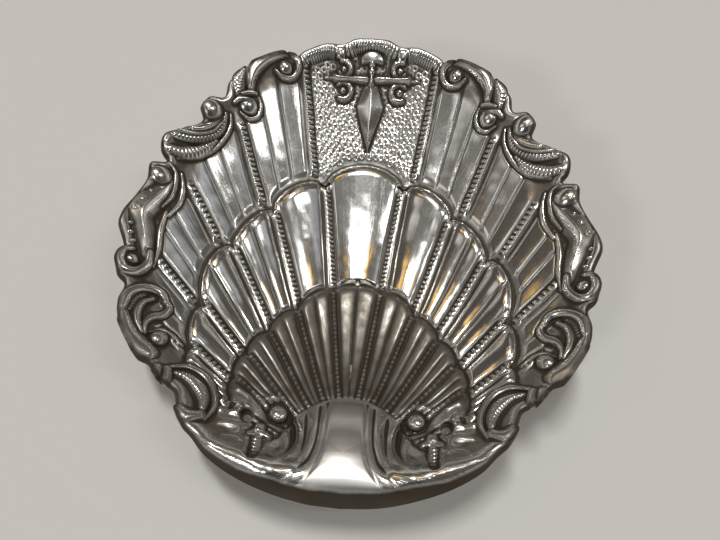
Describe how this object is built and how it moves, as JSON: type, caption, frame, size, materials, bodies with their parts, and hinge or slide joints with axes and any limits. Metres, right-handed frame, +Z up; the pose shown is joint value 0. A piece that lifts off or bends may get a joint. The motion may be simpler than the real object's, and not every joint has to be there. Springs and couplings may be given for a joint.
{
  "type": "shell dish",
  "caption": "Shallow scallop-shell dish of struck silver: tiers of flutes, scrolled rim, raised sword cross on a stippled panel, smooth umbo, ball feet.",
  "frame": {"origin": "on the table, under the middle of the dish's outline", "axes": "+Z up, +Y from the smooth umbo towards the cross, +X to the right seen from above with the cross at the top"},
  "size_m": [0.099, 0.104, 0.0249],
  "materials": {
    "struck_silver": "polished silver with brown tarnish in the recesses",
    "foot_silver": "duller silver, tarnished round the solder"
  },
  "bodies": {
    "root": {"shell_sheet": "struck_silver", "foot_left": "foot_silver", "foot_right": "foot_silver", "foot_rear": "foot_silver"}
  },
  "joints": []
}
